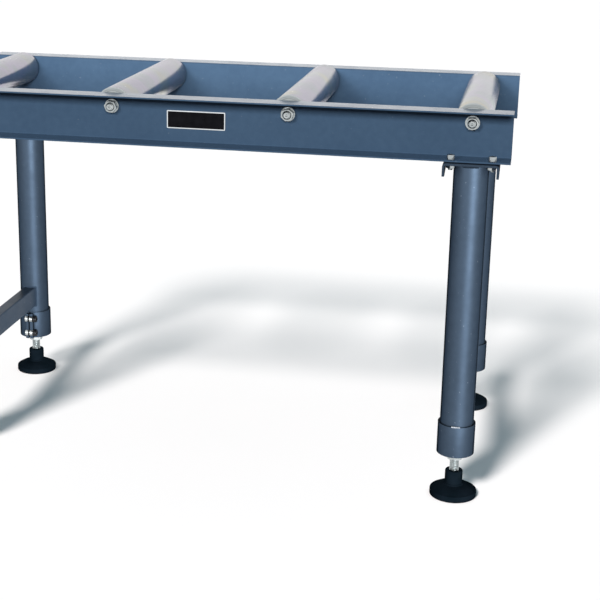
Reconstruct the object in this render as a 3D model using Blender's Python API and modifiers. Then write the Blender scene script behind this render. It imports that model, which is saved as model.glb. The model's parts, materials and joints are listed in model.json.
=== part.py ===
"""Roller stand: free-running rollers between two channel rails, on four telescopic legs.

Lengths are metres. +Z is up and Z = 0 is the floor, +X runs along the table, -Y is its front,
and the origin lies under the middle of the table.
"""

import math

import bmesh
import bpy
from mathutils import Matrix, Vector

# Fits
CLEARANCE = 0.0003          # gap between pieces that touch
SLIDE_FIT = 0.0005          # gap between the inner and the outer leg tube
HOLE_FIT = 0.0005           # gap round a thread in its hole

# Roller bed
ROLLER_COUNT = 4
ROLLER_PITCH = 0.300
ROLLER_DIAMETER = 0.060
ROLLER_WALL = 0.003
ROLLER_END_GAP = 0.006      # from a roller's end to the web beside it
DISC_WALL = 0.0032          # end disc, from the roller's bore to the bearing seat
DISC_LIP = 0.003            # lip behind the bearing, its depth and its reach
BEARING_WIDTH = 0.014
BEARING_RECESS = 0.002      # bearing behind the roller's end face

# Axles, with a nut on a washer outside each rail
AXLE_DIAMETER = 0.020
AXLE_THREAD = 0.012
AXLE_THREAD_PROUD = 0.004   # thread beyond the nut
AXLE_NUT_FLATS = 0.019
AXLE_NUT_HEIGHT = 0.010
WASHER_DIAMETER = 0.024
WASHER_THICKNESS = 0.0025

# Rails: bent channels with their flanges outwards
WEB_SPAN = 0.400            # between the outer faces of the two webs
RAIL_HEIGHT = 0.080
RAIL_SHEET = 0.0025
FLANGE_WIDTH = 0.0435       # from the back of the web
RAIL_OVERHANG = 0.065       # rail end beyond the last axle
AXLE_BELOW_TOP = 0.0225
BEND_INSIDE = 0.002         # radius inside a bend

# Legs
LEG_DIAMETER = 0.057
LEG_WALL = 0.003
LEG_LENGTH = 0.493
LEG_FROM_RAIL_END = 0.062
LEG_OUTBOARD = 0.016        # leg axis outside the web's outer face

# Leg brackets and their bolts
BRACKET_DEPTH = 0.070
BRACKET_SHEET = 0.004
BRACKET_LIP = 0.018         # lip below the plate
LIP_TIP = 0.010             # lip's lower edge, at its outward end
LIP_ROOT = 0.003            # lip's height at its other end
BOLT_DIAMETER = 0.008
BOLT_HEAD_DIAMETER = 0.013
BOLT_HEAD = 0.008
BOLT_SOCKET_FLATS = 0.006
BOLT_SOCKET_DEPTH = 0.0042
BOLT_NUT_FLATS = 0.013
BOLT_NUT = 0.0065
BOLT_PROUD = 0.003          # thread beyond the nut
BOLT_FROM_FLANGE_EDGE = 0.009
BOLT_NUT_GAP = 0.0006       # from the nut's corners to the leg and to the lip

# Clamp collars
COLLAR_WALL = 0.003
COLLAR_HEIGHT = 0.055
COLLAR_SLIT = 0.003
EAR_THICKNESS = 0.006
EAR_DEPTH = 0.0115          # ear beyond the ring
SCREW_DIAMETER = 0.008
SCREW_FROM_EAR_EDGE = 0.0065
SCREW_FROM_COLLAR_END = 0.0125

# Braces between the two legs of one end
BRACE_WIDTH = 0.025
BRACE_HEIGHT = 0.040
BRACE_WALL = 0.002
BRACE_ABOVE_COLLAR = 0.0135

# Inner legs
INNER_LENGTH = 0.330
INNER_WALL = 0.003
STOP_FLANGE = 0.006         # flange that meets the end of the outer leg
END_PLATE = 0.012
WELD_NUT_FLATS = 0.024
WELD_NUT_HEIGHT = 0.013
WELD_DEPTH = 0.001          # nut let into the end plate

# Levelling feet
SPINDLE_DIAMETER = 0.016
SPINDLE_LENGTH = 0.130
SPINDLE_SHOWING = 0.020     # between the neck and the nut
SPINDLE_SEAT = 0.014        # bottom of the spindle's bore above the floor
PAD_DIAMETER = 0.080
PAD_RIM = 0.011
PAD_RISE = 0.011            # cone between the rim and the neck
NECK_DIAMETER = 0.030
NECK_HEIGHT = 0.024
EDGE_BREAK = 0.0012         # chamfer on turned edges

# Facets
ROUND_SIDES = 24
CLAMP_SIDES = 32
HOLE_SIDES = 16
ROD_SIDES = 12
HEX_SIDES = 6
BEND_STEPS = 3
CUT_MARGIN = 0.005          # cutter beyond the piece it cuts
MERGE_DISTANCE = 0.00001
SHARP_ANGLE = math.radians(35)

# Heights, from the floor up
NECK_TOP = PAD_RIM + PAD_RISE + NECK_HEIGHT
WELD_NUT_BOTTOM = NECK_TOP + SPINDLE_SHOWING
COLLAR_BOTTOM = WELD_NUT_BOTTOM + WELD_NUT_HEIGHT
LEG_BOTTOM = COLLAR_BOTTOM + STOP_FLANGE + CLEARANCE
LEG_TOP = LEG_BOTTOM + LEG_LENGTH
BRACKET_TOP = LEG_TOP + CLEARANCE + BRACKET_SHEET
RAIL_BOTTOM = BRACKET_TOP + CLEARANCE
RAIL_TOP = RAIL_BOTTOM + RAIL_HEIGHT
AXLE_LEVEL = RAIL_TOP - AXLE_BELOW_TOP

# Places and radii that several pieces share
WEB_OUTER = WEB_SPAN / 2
WEB_INNER = WEB_OUTER - RAIL_SHEET
FLANGE_EDGE = WEB_INNER + FLANGE_WIDTH
RAIL_LENGTH = (ROLLER_COUNT - 1) * ROLLER_PITCH + 2 * RAIL_OVERHANG
LEG_X = RAIL_LENGTH / 2 - LEG_FROM_RAIL_END
LEG_Y = WEB_OUTER + LEG_OUTBOARD
LEG_RADIUS = LEG_DIAMETER / 2
COLLAR_BORE = LEG_RADIUS + CLEARANCE
COLLAR_RADIUS = COLLAR_BORE + COLLAR_WALL
COLLAR_TOP = COLLAR_BOTTOM + COLLAR_HEIGHT
EAR_TIP = COLLAR_RADIUS + EAR_DEPTH
BEARING_RADIUS = ROLLER_DIAMETER / 2 - ROLLER_WALL - DISC_WALL - CLEARANCE
ROLLER_LENGTH = 2 * (WEB_INNER - ROLLER_END_GAP)
BEARING_PLACE = ROLLER_LENGTH / 2 - BEARING_RECESS - BEARING_WIDTH / 2
BOLT_CORNER = BOLT_NUT_FLATS / math.sqrt(3)
BOLT_Y = FLANGE_EDGE - BOLT_FROM_FLANGE_EDGE
BOLT_FROM_LEG_AXIS = LEG_RADIUS + BOLT_NUT_GAP + BOLT_CORNER
BOLT_X = math.sqrt(BOLT_FROM_LEG_AXIS ** 2 - (BOLT_Y - LEG_Y) ** 2)
BRACKET_LENGTH = 2 * (BOLT_X + BOLT_CORNER + BOLT_NUT_GAP + BRACKET_SHEET)
SPINDLE_BORE = SPINDLE_DIAMETER / 2 + CLEARANCE
FRONT_OUT = (math.pi / 2, 0.0, 0.0)     # turns a piece's +Z to the front
REAR_OUT = (-math.pi / 2, 0.0, 0.0)
ALONG_X = (math.pi / 2, 0.0, math.pi / 2)   # turns an outline's X to Y, its Y to Z and its Z to X


def clear_scene():
    for obj in list(bpy.data.objects):
        bpy.data.objects.remove(obj, do_unlink=True)


def new_collection(name):
    collection = bpy.data.collections.new(name)
    bpy.context.scene.collection.children.link(collection)
    return collection


def new_material(name, color, roughness, metallic):
    material = bpy.data.materials.new(name)
    material.use_nodes = True
    shader = material.node_tree.nodes["Principled BSDF"]
    shader.inputs["Base Color"].default_value = (*color, 1.0)
    shader.inputs["Roughness"].default_value = roughness
    shader.inputs["Metallic"].default_value = metallic
    return material


clear_scene()
STAND = new_collection("roller_stand")
CUTTERS = new_collection("cutters")
PAINT = new_material("blue_grey_paint", (0.085, 0.125, 0.19), 0.42, 0.1)
ROLLER_ZINC = new_material("roller_zinc", (0.56, 0.55, 0.54), 0.38, 0.9)
BRIGHT_ZINC = new_material("bright_zinc", (0.72, 0.74, 0.76), 0.28, 1.0)
BEARING_STEEL = new_material("bearing_steel", (0.60, 0.60, 0.60), 0.22, 1.0)
BLACK_PLASTIC = new_material("black_plastic", (0.012, 0.014, 0.02), 0.45, 0.0)


def mesh_object(name, bm, collection):
    """An object from a bmesh, which is freed."""
    mesh = bpy.data.meshes.new(name)
    bm.to_mesh(mesh)
    bm.free()
    obj = bpy.data.objects.new(name, mesh)
    collection.objects.link(obj)
    return obj


def turned(name, profile, sides, ring):
    """A profile of (radius, height) pairs, running down its outer side, turned about Z."""
    points = [(radius, 0.0, height) for radius, height in profile]
    edges = [(i, i + 1) for i in range(len(points) - 1)]
    if ring:
        edges.append((len(points) - 1, 0))
    mesh = bpy.data.meshes.new(name)
    mesh.from_pydata(points, edges, [])
    obj = bpy.data.objects.new(name, mesh)
    STAND.objects.link(obj)
    screw = obj.modifiers.new("turn", "SCREW")
    screw.steps = sides
    screw.render_steps = sides
    screw.use_merge_vertices = True
    screw.merge_threshold = MERGE_DISTANCE
    return obj


def bar(name, radius, low, high, sides, collection):
    """A solid bar along Z with this many sides; the radius is that of its corners."""
    bm = bmesh.new()
    middle = Matrix.Translation((0.0, 0.0, (low + high) / 2))
    bmesh.ops.create_cone(bm, cap_ends=True, segments=sides, radius1=radius, radius2=radius,
                          depth=high - low, matrix=middle)
    return mesh_object(name, bm, collection)


def block(name, low, high, collection):
    """A box between two opposite corners."""
    bm = bmesh.new()
    size = Vector(high) - Vector(low)
    middle = (Vector(high) + Vector(low)) / 2
    bmesh.ops.create_cube(bm, size=1.0, matrix=Matrix.Translation(middle) @ Matrix.Diagonal((*size, 1.0)))
    return mesh_object(name, bm, collection)


def boolean(obj, other, operation):
    modifier = obj.modifiers.new(other.name, "BOOLEAN")
    modifier.operation = operation
    modifier.solver = "EXACT"
    modifier.object = other


def as_cutter(obj, location=(0.0, 0.0, 0.0), rotation=(0.0, 0.0, 0.0)):
    """Hide an object that only cuts others, or is joined into another, and put it in its place."""
    obj.location = location
    obj.rotation_euler = rotation
    obj.hide_render = True
    obj.display_type = "WIRE"
    return obj


def finished(draft):
    """The mesh of a draft with its modifiers applied; the draft is removed."""
    bpy.context.view_layer.update()
    evaluated = draft.evaluated_get(bpy.context.evaluated_depsgraph_get())
    mesh = bpy.data.meshes.new_from_object(evaluated)
    mesh.name = draft.name
    mesh.shade_smooth()
    mesh.set_sharp_from_angle(angle=SHARP_ANGLE)
    bpy.data.objects.remove(draft, do_unlink=True)
    return mesh


def place(name, mesh, material, location=(0.0, 0.0, 0.0), rotation=(0.0, 0.0, 0.0), parent=None):
    """One piece of the stand, named for its node."""
    if not mesh.materials:
        mesh.materials.append(material)
    obj = bpy.data.objects.new(name, mesh)
    STAND.objects.link(obj)
    obj.location = location
    obj.rotation_euler = rotation
    obj.parent = parent
    return obj


def station(name, location, rotation=(0.0, 0.0, 0.0)):
    """An empty that carries the pieces of one leg or one roller."""
    empty = bpy.data.objects.new(name, None)
    STAND.objects.link(empty)
    empty.location = location
    empty.rotation_euler = rotation
    return empty


def rounded_path(corners, radius):
    """A path through right-angled corners, with an arc at each inner one."""
    path = [Vector(corners[0])]
    for before, corner, after in zip(corners, corners[1:], corners[2:]):
        back = (Vector(before) - Vector(corner)).normalized()
        ahead = (Vector(after) - Vector(corner)).normalized()
        centre = Vector(corner) + (back + ahead) * radius
        for step in range(BEND_STEPS + 1):
            angle = math.pi / 2 * step / BEND_STEPS
            path.append(centre - ahead * radius * math.cos(angle) - back * radius * math.sin(angle))
    path.append(Vector(corners[-1]))
    return path


def bent_sheet(name, corners, run, thickness, outside):
    """Sheet bent along a path on its outside, drawn out by the vector run, with its bends rounded.

    outside is the way that the sheet's outer face points on the path's first straight.
    """
    bm = bmesh.new()
    path = rounded_path(corners, BEND_INSIDE + thickness)
    verts = [bm.verts.new(point - run / 2) for point in path]
    edges = [bm.edges.new(pair) for pair in zip(verts, verts[1:])]
    drawn = bmesh.ops.extrude_edge_only(bm, edges=edges)
    moved = [item for item in drawn["geom"] if isinstance(item, bmesh.types.BMVert)]
    bmesh.ops.translate(bm, vec=run, verts=moved)
    bm.normal_update()
    first_straight = verts[0].link_faces[0]
    if first_straight.normal.dot(outside) < 0:
        bmesh.ops.reverse_faces(bm, faces=bm.faces[:])
    obj = mesh_object(name, bm, STAND)
    solid = obj.modifiers.new("sheet", "SOLIDIFY")
    solid.thickness = thickness
    solid.offset = -1.0
    solid.use_even_offset = True
    return obj


def flat_outline(name, points, low, high, collection):
    """A closed outline in X and Y, drawn out between two heights, as a mesh object."""
    curve = bpy.data.curves.new(name, "CURVE")
    curve.dimensions = "2D"
    curve.fill_mode = "BOTH"
    curve.extrude = (high - low) / 2
    spline = curve.splines.new("POLY")
    spline.points.add(len(points) - 1)
    for point, (x, y) in zip(spline.points, points):
        point.co = (x, y, 0.0, 1.0)
    spline.use_cyclic_u = True
    drawn = bpy.data.objects.new(name, curve)
    collection.objects.link(drawn)
    bpy.context.view_layer.update()
    evaluated = drawn.evaluated_get(bpy.context.evaluated_depsgraph_get())
    mesh = bpy.data.meshes.new_from_object(evaluated)
    bpy.data.objects.remove(drawn, do_unlink=True)
    bm = bmesh.new()
    bm.from_mesh(mesh)
    bmesh.ops.remove_doubles(bm, verts=bm.verts[:], dist=MERGE_DISTANCE)
    bmesh.ops.translate(bm, vec=(0.0, 0.0, (low + high) / 2), verts=bm.verts[:])
    bmesh.ops.recalc_face_normals(bm, faces=bm.faces[:])
    return mesh_object(name, bm, collection)


def roller_x(number):
    return (number - (ROLLER_COUNT + 1) / 2) * ROLLER_PITCH


def rail_mesh():
    """The front rail: its back is towards the rollers and its flanges point to the front."""
    corners = [
        (0.0, -FLANGE_EDGE, RAIL_TOP),
        (0.0, -WEB_INNER, RAIL_TOP),
        (0.0, -WEB_INNER, RAIL_BOTTOM),
        (0.0, -FLANGE_EDGE, RAIL_BOTTOM),
    ]
    rail = bent_sheet("rail", corners, Vector((RAIL_LENGTH, 0.0, 0.0)), RAIL_SHEET, Vector((0.0, 0.0, 1.0)))
    hole = AXLE_THREAD / 2 + HOLE_FIT
    for number in range(1, ROLLER_COUNT + 1):
        cutter = bar(f"axle_hole_{number}", hole, WEB_INNER - CUT_MARGIN, WEB_OUTER + CUT_MARGIN, HOLE_SIDES,
                     CUTTERS)
        boolean(rail, as_cutter(cutter, (roller_x(number), 0.0, AXLE_LEVEL), FRONT_OUT), "DIFFERENCE")
    for end in (-1, 1):
        for cutter in bolt_hole_cutters(f"rail_{end}", end * LEG_X, -BOLT_Y):
            boolean(rail, cutter, "DIFFERENCE")
    return finished(rail)


def bolt_hole_cutters(name, x, y):
    """Cutters for the two bolts beside a leg, through the bracket and the rail's lower flange."""
    cutters = []
    for side in (-1, 1):
        cutter = bar(f"bolt_hole_{name}_{side}", BOLT_DIAMETER / 2 + HOLE_FIT, LEG_TOP - CUT_MARGIN,
                     RAIL_BOTTOM + RAIL_SHEET + CUT_MARGIN, HOLE_SIDES, CUTTERS)
        cutters.append(as_cutter(cutter, (x + side * BOLT_X, y, 0.0)))
    return cutters


def roller_mesh():
    """Tube with an end disc in each end; the discs' bores seat the bearings."""
    half = ROLLER_LENGTH / 2
    radius = ROLLER_DIAMETER / 2
    bore = radius - ROLLER_WALL
    seat = BEARING_RADIUS + CLEARANCE
    lip = seat - DISC_LIP
    lip_front = half - BEARING_RECESS - BEARING_WIDTH - CLEARANCE
    lip_back = lip_front - DISC_LIP
    lower_end = [(radius, -half), (seat, -half), (seat, -lip_front), (lip, -lip_front), (lip, -lip_back),
                 (bore, -lip_back)]
    upper_end = [(r, -z) for r, z in reversed(lower_end)]
    return finished(turned("roller", lower_end + upper_end, ROUND_SIDES, ring=True))


def bearing_mesh():
    half = BEARING_WIDTH / 2
    bore = AXLE_DIAMETER / 2 + CLEARANCE
    profile = [(BEARING_RADIUS, half), (BEARING_RADIUS, -half), (bore, -half), (bore, half)]
    return finished(turned("bearing", profile, ROUND_SIDES, ring=True))


def axle_mesh():
    """Bar with a shoulder at each web and a threaded end through it."""
    shoulder = WEB_INNER - CLEARANCE
    end = WEB_OUTER + CLEARANCE + WASHER_THICKNESS + AXLE_NUT_HEIGHT + AXLE_THREAD_PROUD
    thread = AXLE_THREAD / 2
    upper = [(0.0, end), (thread - EDGE_BREAK, end), (thread, end - EDGE_BREAK), (thread, shoulder),
             (AXLE_DIAMETER / 2, shoulder)]
    lower = [(r, -z) for r, z in reversed(upper)]
    return finished(turned("axle", upper + lower, ROD_SIDES, ring=False))


def axle_nut_mesh():
    """Nut on its washer, standing on Z = 0."""
    top = WASHER_THICKNESS + AXLE_NUT_HEIGHT
    nut = bar("axle_nut", WASHER_DIAMETER / 2, 0.0, WASHER_THICKNESS, ROUND_SIDES, STAND)
    hexagon = bar("axle_nut_hexagon", AXLE_NUT_FLATS / math.sqrt(3), WASHER_THICKNESS / 2, top, HEX_SIDES,
                  CUTTERS)
    boolean(nut, as_cutter(hexagon), "UNION")
    bore = bar("axle_nut_bore", AXLE_THREAD / 2 + CLEARANCE, -CUT_MARGIN, top + CUT_MARGIN, HOLE_SIDES,
               CUTTERS)
    boolean(nut, as_cutter(bore), "DIFFERENCE")
    return finished(nut)


def leg_mesh():
    """Outer leg tube on the leg's axis, slit at its lower end so that the collar can close it."""
    bore = LEG_RADIUS - LEG_WALL
    profile = [(LEG_RADIUS, LEG_TOP), (LEG_RADIUS, LEG_BOTTOM), (bore, LEG_BOTTOM), (bore, LEG_TOP)]
    leg = turned("leg", profile, ROUND_SIDES, ring=True)
    half_slit = COLLAR_SLIT / 2
    slit = block("leg_slit", (-half_slit, 0.0, COLLAR_BOTTOM), (half_slit, COLLAR_RADIUS, COLLAR_TOP),
                 CUTTERS)
    boolean(leg, as_cutter(slit), "DIFFERENCE")
    return finished(leg)


def bracket_mesh():
    """Plate over the leg, with a tapered lip bent down at each end; its bolts are on the outward side, -Y."""
    half = BRACKET_LENGTH / 2
    plate_bottom = LEG_TOP + CLEARANCE
    lip_bottom = plate_bottom - BRACKET_LIP
    corners = [(-half, 0.0, lip_bottom), (-half, 0.0, BRACKET_TOP), (half, 0.0, BRACKET_TOP),
               (half, 0.0, lip_bottom)]
    bracket = bent_sheet("bracket", corners, Vector((0.0, BRACKET_DEPTH, 0.0)), BRACKET_SHEET,
                         Vector((-1.0, 0.0, 0.0)))
    for cutter in bolt_hole_cutters("bracket", 0.0, LEG_Y - BOLT_Y):
        boolean(bracket, cutter, "DIFFERENCE")
    tip = Vector((LIP_TIP - BRACKET_DEPTH / 2, lip_bottom))
    root = Vector((BRACKET_DEPTH / 2, plate_bottom - LIP_ROOT))
    below = tip - (root - tip)
    beyond = root + (root - tip)
    taper = flat_outline("lip_taper", [below, (beyond.x, below.y), beyond], -half - CUT_MARGIN,
                         half + CUT_MARGIN, CUTTERS)
    boolean(bracket, as_cutter(taper, rotation=ALONG_X), "DIFFERENCE")
    return finished(bracket)


def bracket_bolt_mesh():
    """Socket-head bolt down through the flange and the bracket, with its nut under the plate."""
    head_bottom = RAIL_BOTTOM + RAIL_SHEET + CLEARANCE
    head_top = head_bottom + BOLT_HEAD
    nut_bottom = LEG_TOP - BOLT_NUT
    bolt = bar("bracket_bolt", BOLT_DIAMETER / 2, nut_bottom - BOLT_PROUD, head_bottom + BOLT_HEAD / 2,
               ROD_SIDES, STAND)
    head = bar("bolt_head", BOLT_HEAD_DIAMETER / 2, head_bottom, head_top, 2 * ROD_SIDES, CUTTERS)
    boolean(bolt, as_cutter(head), "UNION")
    nut = bar("bolt_nut", BOLT_CORNER, nut_bottom, LEG_TOP, HEX_SIDES, CUTTERS)
    boolean(bolt, as_cutter(nut), "UNION")
    socket = bar("bolt_socket", BOLT_SOCKET_FLATS / math.sqrt(3), head_top - BOLT_SOCKET_DEPTH,
                 head_top + CUT_MARGIN, HEX_SIDES, CUTTERS)
    boolean(bolt, as_cutter(socket), "DIFFERENCE")
    return finished(bolt)


def collar_outline():
    """Split ring with two ears towards +Y, as one closed line."""
    slit = COLLAR_SLIT / 2
    ear = slit + EAR_THICKNESS
    inner_start = math.asin(slit / COLLAR_BORE)
    outer_start = math.asin(ear / COLLAR_RADIUS)

    def arc(radius, start):
        sweep = 2 * (math.pi - start)
        angles = [start + sweep * step / CLAMP_SIDES for step in range(CLAMP_SIDES + 1)]
        return [(radius * math.sin(angle), radius * math.cos(angle)) for angle in angles]

    inner = [(slit, EAR_TIP)] + arc(COLLAR_BORE, inner_start) + [(-slit, EAR_TIP)]
    outer = [(-ear, EAR_TIP)] + arc(COLLAR_RADIUS, outer_start)[::-1] + [(ear, EAR_TIP)]
    return inner + outer


def collar_mesh():
    collar = flat_outline("collar", collar_outline(), COLLAR_BOTTOM, COLLAR_TOP, STAND)
    reach = COLLAR_SLIT / 2 + EAR_THICKNESS + CUT_MARGIN
    levels = (COLLAR_BOTTOM + SCREW_FROM_COLLAR_END, COLLAR_TOP - SCREW_FROM_COLLAR_END)
    for number, level in enumerate(levels, start=1):
        cutter = bar(f"clamp_screw_hole_{number}", SCREW_DIAMETER / 2 + HOLE_FIT, -reach, reach, HOLE_SIDES,
                     CUTTERS)
        spot = (0.0, EAR_TIP - SCREW_FROM_EAR_EDGE, level)
        boolean(collar, as_cutter(cutter, spot, (0.0, math.pi / 2, 0.0)), "DIFFERENCE")
    return finished(collar)


def inner_leg_mesh():
    """Inner tube with its end plate, stop flange and welded nut."""
    radius = LEG_RADIUS - LEG_WALL - SLIDE_FIT
    bore = radius - INNER_WALL
    flange = LEG_RADIUS - CLEARANCE
    flange_top = COLLAR_BOTTOM + STOP_FLANGE
    plate_top = COLLAR_BOTTOM + END_PLATE
    top = flange_top + INNER_LENGTH
    profile = [(0.0, plate_top), (bore, plate_top), (bore, top), (radius, top), (radius, flange_top),
               (flange, flange_top), (flange, COLLAR_BOTTOM), (0.0, COLLAR_BOTTOM)]
    inner = turned("inner_leg", profile, ROUND_SIDES, ring=False)
    nut_corner = WELD_NUT_FLATS / math.sqrt(3)
    nut = bar("weld_nut", nut_corner, WELD_NUT_BOTTOM, COLLAR_BOTTOM + WELD_DEPTH, HEX_SIDES, CUTTERS)
    half_facet = (0.0, 0.0, math.pi / ROUND_SIDES)
    boolean(inner, as_cutter(nut, rotation=half_facet), "UNION")
    hole = bar("spindle_hole", SPINDLE_BORE, WELD_NUT_BOTTOM - CUT_MARGIN, plate_top + CUT_MARGIN, HOLE_SIDES,
               CUTTERS)
    boolean(inner, as_cutter(hole), "DIFFERENCE")
    return finished(inner)


def spindle_mesh():
    """Levelling screw, from its seat in the pad's neck up into the inner leg."""
    radius = SPINDLE_DIAMETER / 2
    bottom = SPINDLE_SEAT + CLEARANCE
    top = bottom + SPINDLE_LENGTH
    upper = [(0.0, top), (radius - EDGE_BREAK, top), (radius, top - EDGE_BREAK)]
    lower = [(radius, bottom + EDGE_BREAK), (radius - EDGE_BREAK, bottom), (0.0, bottom)]
    return finished(turned("spindle", upper + lower, ROD_SIDES, ring=False))


def foot_pad_mesh():
    """Round pad with a conical top and a neck that takes the spindle."""
    neck = NECK_DIAMETER / 2
    rim = PAD_DIAMETER / 2
    profile = [
        (0.0, SPINDLE_SEAT),
        (SPINDLE_BORE, SPINDLE_SEAT),
        (SPINDLE_BORE, NECK_TOP),
        (neck - EDGE_BREAK, NECK_TOP),
        (neck, NECK_TOP - EDGE_BREAK),
        (neck, PAD_RIM + PAD_RISE),
        (rim - EDGE_BREAK, PAD_RIM),
        (rim, PAD_RIM - EDGE_BREAK),
        (rim, EDGE_BREAK),
        (rim - EDGE_BREAK, 0.0),
        (0.0, 0.0),
    ]
    return finished(turned("foot_pad", profile, ROUND_SIDES, ring=False))


def brace_mesh():
    """Rectangular tube from front to rear, with its ends hollowed to fit the legs."""
    half = BRACE_WIDTH / 2
    low = COLLAR_TOP + BRACE_ABOVE_COLLAR
    high = low + BRACE_HEIGHT
    brace = block("brace", (-half, -LEG_Y, low), (half, LEG_Y, high), STAND)
    hollow = block("brace_hollow", (BRACE_WALL - half, -LEG_Y - CUT_MARGIN, low + BRACE_WALL),
                   (half - BRACE_WALL, LEG_Y + CUT_MARGIN, high - BRACE_WALL), CUTTERS)
    boolean(brace, as_cutter(hollow), "DIFFERENCE")
    for side in (-1, 1):
        saddle = bar(f"brace_saddle_{side}", LEG_RADIUS + CLEARANCE, low - CUT_MARGIN, high + CUT_MARGIN,
                     CLAMP_SIDES, CUTTERS)
        boolean(brace, as_cutter(saddle, (0.0, side * LEG_Y, 0.0)), "DIFFERENCE")
    return finished(brace)


def build_rails():
    mesh = rail_mesh()
    place("front_rail", mesh, PAINT)
    place("rear_rail", mesh, PAINT, rotation=(0.0, 0.0, math.pi))


def build_rollers():
    roller = roller_mesh()
    bearing = bearing_mesh()
    axle = axle_mesh()
    nut = axle_nut_mesh()
    nut_seat = WEB_OUTER + CLEARANCE
    for number in range(1, ROLLER_COUNT + 1):
        carrier = station(f"roller_station_{number}", (roller_x(number), 0.0, AXLE_LEVEL))
        place(f"roller_{number}", roller, ROLLER_ZINC, rotation=FRONT_OUT, parent=carrier)
        place(f"axle_{number}", axle, BRIGHT_ZINC, rotation=FRONT_OUT, parent=carrier)
        for end, side, turn in (("front", -1, FRONT_OUT), ("rear", 1, REAR_OUT)):
            place(f"bearing_{number}_{end}", bearing, BEARING_STEEL, (0.0, side * BEARING_PLACE, 0.0), turn,
                  carrier)
            place(f"axle_nut_{number}_{end}", nut, BRIGHT_ZINC, (0.0, side * nut_seat, 0.0), turn, carrier)


def build_legs():
    leg = leg_mesh()
    bracket = bracket_mesh()
    bolt = bracket_bolt_mesh()
    collar = collar_mesh()
    inner = inner_leg_mesh()
    spindle = spindle_mesh()
    pad = foot_pad_mesh()
    for row, y_side, turn in (("front", -1, 0.0), ("rear", 1, math.pi)):
        for end, x_side in (("left", -1), ("right", 1)):
            corner = f"{row}_{end}"
            spot = (x_side * LEG_X, y_side * LEG_Y, 0.0)
            carrier = station(f"leg_station_{corner}", spot, (0.0, 0.0, turn))
            place(f"leg_{corner}", leg, PAINT, parent=carrier)
            place(f"bracket_{corner}", bracket, PAINT, parent=carrier)
            place(f"collar_{corner}", collar, PAINT, parent=carrier)
            place(f"inner_leg_{corner}", inner, BRIGHT_ZINC, parent=carrier)
            place(f"spindle_{corner}", spindle, BRIGHT_ZINC, parent=carrier)
            place(f"foot_pad_{corner}", pad, BLACK_PLASTIC, parent=carrier)
            for number, side in ((1, -1), (2, 1)):
                bolt_spot = (side * BOLT_X, LEG_Y - BOLT_Y, 0.0)
                place(f"bracket_bolt_{corner}_{number}", bolt, BRIGHT_ZINC, bolt_spot, parent=carrier)


def build_braces():
    mesh = brace_mesh()
    place("brace_left", mesh, PAINT, (-LEG_X, 0.0, 0.0))
    place("brace_right", mesh, PAINT, (LEG_X, 0.0, 0.0))


build_rails()
build_rollers()
build_legs()
build_braces()
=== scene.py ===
"""Looks of the roller stand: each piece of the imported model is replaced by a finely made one.

Lengths are metres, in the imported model's frame: +X runs along the table, -Y is its front, and
Z = 0 is the floor. Pieces of a leg are modelled round the Z axis, as those of a front leg, and
pieces of a roller along the Z axis. Copies of them are then put in their places.
"""

import json
import math

import bmesh
import bpy
from mathutils import Matrix, Vector

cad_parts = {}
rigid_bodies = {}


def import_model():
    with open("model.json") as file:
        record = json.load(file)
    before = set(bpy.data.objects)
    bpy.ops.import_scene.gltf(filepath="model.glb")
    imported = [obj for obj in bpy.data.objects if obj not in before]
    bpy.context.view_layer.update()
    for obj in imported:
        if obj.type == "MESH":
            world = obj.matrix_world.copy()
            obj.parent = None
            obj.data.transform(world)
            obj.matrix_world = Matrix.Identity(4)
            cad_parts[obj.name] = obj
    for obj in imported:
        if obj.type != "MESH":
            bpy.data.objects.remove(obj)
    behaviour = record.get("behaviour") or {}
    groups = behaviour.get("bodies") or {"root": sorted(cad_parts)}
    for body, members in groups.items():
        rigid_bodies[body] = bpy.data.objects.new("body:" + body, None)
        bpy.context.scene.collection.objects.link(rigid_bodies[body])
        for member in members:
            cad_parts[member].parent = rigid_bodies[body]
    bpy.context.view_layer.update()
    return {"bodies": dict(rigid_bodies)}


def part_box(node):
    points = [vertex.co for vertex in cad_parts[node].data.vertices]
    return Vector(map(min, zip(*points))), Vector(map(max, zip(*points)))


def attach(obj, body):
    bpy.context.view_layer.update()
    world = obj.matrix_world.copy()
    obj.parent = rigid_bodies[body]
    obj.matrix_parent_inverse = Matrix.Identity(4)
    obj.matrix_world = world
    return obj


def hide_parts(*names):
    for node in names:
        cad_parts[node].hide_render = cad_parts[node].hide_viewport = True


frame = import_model()

ROWS = (("front", -1, 0.0), ("rear", 1, math.pi))      # name, side in Y, turn about Z
ENDS = (("left", -1), ("right", 1))
ROLLERS = (1, 2, 3, 4)
UP = Vector((0.0, 0.0, 1.0))
TO_FRONT = Matrix.Rotation(math.pi / 2, 4, "X")        # turns +Z to the front
TO_REAR = Matrix.Rotation(-math.pi / 2, 4, "X")
TO_LEFT = Matrix.Rotation(-math.pi / 2, 4, "Y")        # turns +Z to -X

# Fineness
ROUND_SIDES = 96
HOLE_SIDES = 48
THREAD_SIDES = 36
CORNER_STEPS = 4
BEND_STEPS = 8
MERGE = 0.000002
NEAR = 0.0001               # two places that count as one
SPECK = 0.001               # size of a primitive that is merged to one vertex
MARGIN = 0.004              # cutter beyond the piece it cuts
SMOOTH_ANGLE = math.radians(32)

# Sheet metal
RAIL_SHEET = 0.0025
BRACKET_SHEET = 0.004
BEND_INSIDE = 0.002
SHEET_EDGE = 0.0006         # rounding that paint leaves on a cut edge
AXLE_HOLE = 0.0065
BOLT_HOLE = 0.0045
LIP_TIP = 0.010
LIP_ROOT = 0.003

# Threads: diameter and pitch
M8 = (0.008, 0.00125)
M12 = (0.012, 0.00175)
M16 = (0.016, 0.002)
TOOTH = ((0.0, 0.0), (0.0, 0.25), (1.0, 0.5625), (1.0, 0.6875), (0.0, 1.0))     # depth, place in the pitch
TOOTH_DEPTH = 0.6134        # in pitches

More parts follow.
